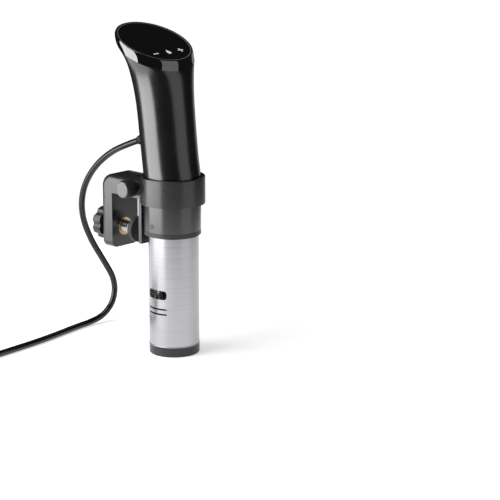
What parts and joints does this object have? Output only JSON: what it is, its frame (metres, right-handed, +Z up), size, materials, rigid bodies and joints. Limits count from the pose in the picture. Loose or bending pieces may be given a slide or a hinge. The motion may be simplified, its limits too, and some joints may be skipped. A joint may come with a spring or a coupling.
{
  "type": "sous vide circulator",
  "caption": "Immersion circulator: leaning gloss handle with a round touch display, steel skirt over a heater and impeller, and a collar clamp for a pan wall.",
  "frame": {"origin": "centre of the flat base of the end cap, on the impeller shaft's axis", "axes": "+Z up along the skirt and the impeller shaft, -Y the side the display leans towards, +Y the side of the pan clamp and the cord"},
  "size_m": [0.2551, 0.2446, 0.3267],
  "materials": {
    "handle_gloss": "mirror gloss black moulding",
    "rim_gloss": "mirror gloss black moulding",
    "rim_accent": "satin silver",
    "display_glass": "dark tinted touch glass",
    "light_guide": "frosted white",
    "led_display": "dark smoked face",
    "skirt_steel": "brushed, turned round the tube",
    "element_steel": "satin, slightly darkened",
    "screw_steel": "satin",
    "screw_black": "black oxide, satin",
    "shaft_steel": "ground",
    "end_cap_plastic": "fine satin",
    "collar_plastic": "fine satin",
    "liner_rubber": "matt",
    "pad_rubber": "matt ribbed",
    "knob_plastic": "fine satin",
    "knob_cap": "bright turned face",
    "nut_brass": "machined",
    "bulkhead_plastic": "satin",
    "seal_rubber": "matt",
    "impeller_plastic": "off-white moulding",
    "bush_plastic": "tan bearing plastic",
    "motor_steel": "zinc grey",
    "stator_copper": "enamelled copper windings",
    "rotor_steel": "laminated",
    "bearing_steel": "polished",
    "chassis_aluminium": "satin",
    "heat_sink_black": "black anodised",
    "board_green": "solder mask",
    "component_plastic": "satin",
    "capacitor_sleeve": "shrink sleeve",
    "terminal_plastic": "satin green",
    "tray_plastic": "satin",
    "gasket_foam": "foam",
    "cord_pvc": "satin sheath",
    "gland_rubber": "matt",
    "tie_rubber": "matt",
    "plug_plastic": "satin",
    "pin_brass": "nickelled brass"
  },
  "bodies": {
    "main": {"bulkhead": "bulkhead_plastic", "skirt_grip_ring": "seal_rubber", "handle_seal_ring": "seal_rubber", "base_plate": "element_steel", "heating_element": "element_steel", "element_nuts": "nut_brass", "temperature_probe": "element_steel", "level_electrodes": "element_steel", "shaft_tube": "element_steel", "lower_bush": "bush_plastic", "shaft_seal": "seal_rubber", "motor_mount": "chassis_aluminium", "mount_screws": "screw_steel", "motor_screws": "screw_steel", "motor_can": "motor_steel", "stator": "stator_copper", "motor_bearings": "bearing_steel", "electronics_chassis": "chassis_aluminium", "control_board": "board_green", "board_screws": "screw_steel", "power_modules": "component_plastic", "capacitors": "capacitor_sleeve", "heat_sink": "heat_sink_black", "terminal_block": "terminal_plastic", "handle_shell": "handle_gloss", "handle_screws": "screw_black", "trim_ring": "rim_gloss", "accent_ring": "rim_accent", "touch_glass": "display_glass", "icon_light_guides": "light_guide", "display_gasket": "gasket_foam", "display_tray": "tray_plastic", "tray_screws": "screw_steel", "display_board": "board_green", "digit_display": "led_display", "cord_gland": "gland_rubber", "cord": "cord_pvc", "cord_coil": "cord_pvc", "coil_tie": "tie_rubber", "cord_tail": "cord_pvc", "plug_body": "plug_plastic", "plug_pins": "pin_brass"},
    "rotor": {"drive_shaft": "shaft_steel", "shaft_coupling": "chassis_aluminium", "impeller": "impeller_plastic", "motor_rotor": "rotor_steel", "motor_shaft": "shaft_steel"},
    "skirt": {"skirt_tube": "skirt_steel", "end_cap": "end_cap_plastic"},
    "clamp_liner": {"collar_liner": "liner_rubber"},
    "clamp": {"clamp_bracket": "collar_plastic", "jaw_pad": "pad_rubber", "thumb_nut": "nut_brass", "press_nut": "nut_brass"},
    "thumb_washer": {"thumb_washer": "screw_steel"},
    "thumb_screw": {"thumb_knob": "knob_plastic", "thumb_stud": "shaft_steel"},
    "press_pad": {"press_pad": "pad_rubber"},
    "press_screw": {"press_screw": "shaft_steel", "press_knob": "knob_plastic"}
  },
  "joints": [
    {"name": "impeller_spin", "type": "hinge", "parent": "main", "child": "rotor", "pos_m": [0, 0, 0.0225], "axis": [0, 0, 1], "continuous": true},
    {"name": "skirt_pull", "type": "slide", "parent": "main", "child": "skirt", "axis": [0, 0, -1], "range_m": [0, 0.165]},
    {"name": "clamp_slide", "type": "slide", "parent": "main", "child": "clamp_liner", "axis": [0, 0, 1], "range_m": [-0.026, 0]},
    {"name": "clamp_turn", "type": "hinge", "parent": "clamp_liner", "child": "clamp", "pos_m": [0, 0.0015, 0.167], "axis": [0, 0, 1], "range_deg": [-180, 180]},
    {"name": "thumb_travel", "type": "slide", "parent": "clamp", "child": "thumb_washer", "axis": [-1, 0, 0], "range_m": [0, 0.002]},
    {"name": "thumb_turn", "type": "hinge", "parent": "thumb_washer", "child": "thumb_screw", "pos_m": [-0.0191, 0.0369, 0.1658], "axis": [-1, 0, 0], "range_deg": [0, 721]},
    {"name": "press_travel", "type": "slide", "parent": "clamp", "child": "press_pad", "axis": [0, -1, 0], "range_m": [-0.015, 0.0025]},
    {"name": "press_turn", "type": "hinge", "parent": "press_pad", "child": "press_screw", "pos_m": [0, 0.057, 0.118], "axis": [0, -1, 0], "range_deg": [-1801, 301]}
  ],
  "couplings": [
    {"joint": "thumb_turn", "follows": "thumb_travel", "rad_per_m": 6283.2},
    {"joint": "press_turn", "follows": "press_travel", "rad_per_m": 2094.4}
  ]
}
